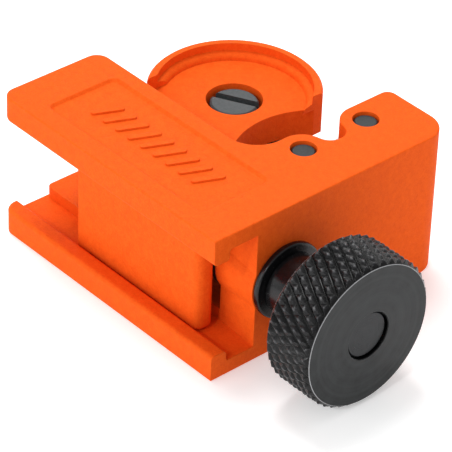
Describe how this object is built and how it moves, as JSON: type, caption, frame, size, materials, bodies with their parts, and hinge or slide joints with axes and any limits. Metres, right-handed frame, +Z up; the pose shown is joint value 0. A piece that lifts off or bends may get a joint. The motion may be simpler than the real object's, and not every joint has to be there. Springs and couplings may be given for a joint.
{
  "type": "mini pipe cutter",
  "caption": "Compact screw-feed pipe cutter: knurled knob, cast frame with rollers, and a sliding head that carries the cutting wheel.",
  "frame": {"origin": "on the flat base, straight below the feed screw's axis, in the plane of the two roller pins", "axes": "+Z is up and runs along the tube and the roller pins; +X runs along the feed screw towards its knob; +Y runs from the guide rails towards the tube throat"},
  "size_m": [0.0537, 0.0374, 0.02],
  "materials": {
    "frame_paint": "orange powder coat on a die casting, finely textured, satin",
    "slide_paint": "orange powder coat on a die casting, finely textured, satin",
    "screw_steel": "turned steel with a black oxide finish, satin",
    "knob_black": "turned and diamond-knurled, black, satin",
    "washer_black": "black, glossy",
    "clip_steel": "spring steel, dark phosphate",
    "wheel_steel": "ground tool steel, satin",
    "roller_steel": "turned steel, zinc plated, satin",
    "pin_steel": "steel, dark oxide, satin"
  },
  "bodies": {
    "frame": {"frame": "frame_paint", "inner_roller_pin": "pin_steel", "outer_roller_pin": "pin_steel"},
    "feed": {"feed_screw": "screw_steel", "knob": "knob_black", "thrust_washer": "washer_black", "retaining_clip": "clip_steel", "stop_clip": "clip_steel"},
    "slide": {"slide": "slide_paint", "axle_screw": "pin_steel"},
    "wheel": {"cutting_wheel": "wheel_steel"},
    "inner_roller": {"inner_roller": "roller_steel"},
    "outer_roller": {"outer_roller": "roller_steel"}
  },
  "joints": [
    {"name": "knob_turn", "type": "hinge", "parent": "frame", "child": "feed", "pos_m": [0, 0, 0.01], "axis": [-1, 0, 0], "range_deg": [-2737, 1441]},
    {"name": "slide_travel", "type": "slide", "parent": "frame", "child": "slide", "axis": [1, 0, 0], "range_m": [-0.0095, 0.005]},
    {"name": "wheel_spin", "type": "hinge", "parent": "slide", "child": "wheel", "pos_m": [-0.0179, 0.0146, 0.01], "axis": [0, 0, 1], "continuous": true},
    {"name": "inner_roller_spin", "type": "hinge", "parent": "frame", "child": "inner_roller", "pos_m": [0, 0.00955, 0.01], "axis": [0, 0, 1], "continuous": true},
    {"name": "outer_roller_spin", "type": "hinge", "parent": "frame", "child": "outer_roller", "pos_m": [0, 0.01965, 0.01], "axis": [0, 0, 1], "continuous": true}
  ],
  "couplings": [
    {"joint": "knob_turn", "follows": "slide_travel", "rad_per_m": 5026.5}
  ]
}
